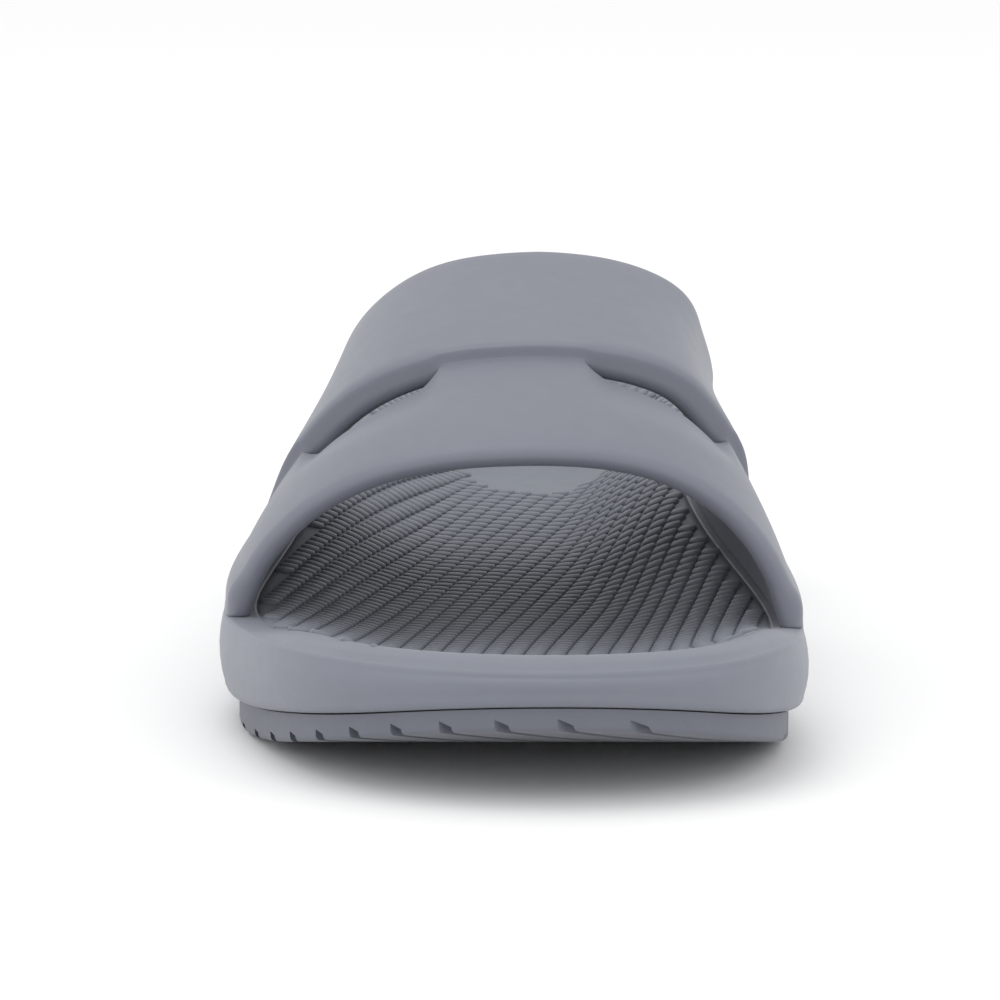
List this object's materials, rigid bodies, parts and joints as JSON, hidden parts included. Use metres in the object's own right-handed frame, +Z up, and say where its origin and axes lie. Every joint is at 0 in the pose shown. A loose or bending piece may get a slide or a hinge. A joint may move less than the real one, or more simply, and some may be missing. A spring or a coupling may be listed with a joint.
{
  "type": "sport slide sandal",
  "caption": "Moulded foam slide sandal for the right foot, with a broad stepped instep strap, dished footbed, rounded side wall and grooved outsole.",
  "frame": {"origin": "middle of the footprint, on the floor under the outsole", "axes": "+Z up; +Y from the toe to the heel; +X towards the inner side of the right foot"},
  "size_m": [0.1158, 0.2878, 0.0866],
  "materials": {
    "outsole_foam": "matte",
    "midsole_foam": "satin",
    "footbed_foam": "matte",
    "strap_foam": "satin"
  },
  "bodies": {
    "root": {"outsole": "outsole_foam", "midsole": "midsole_foam", "footbed": "footbed_foam", "upper": "strap_foam"}
  },
  "joints": []
}
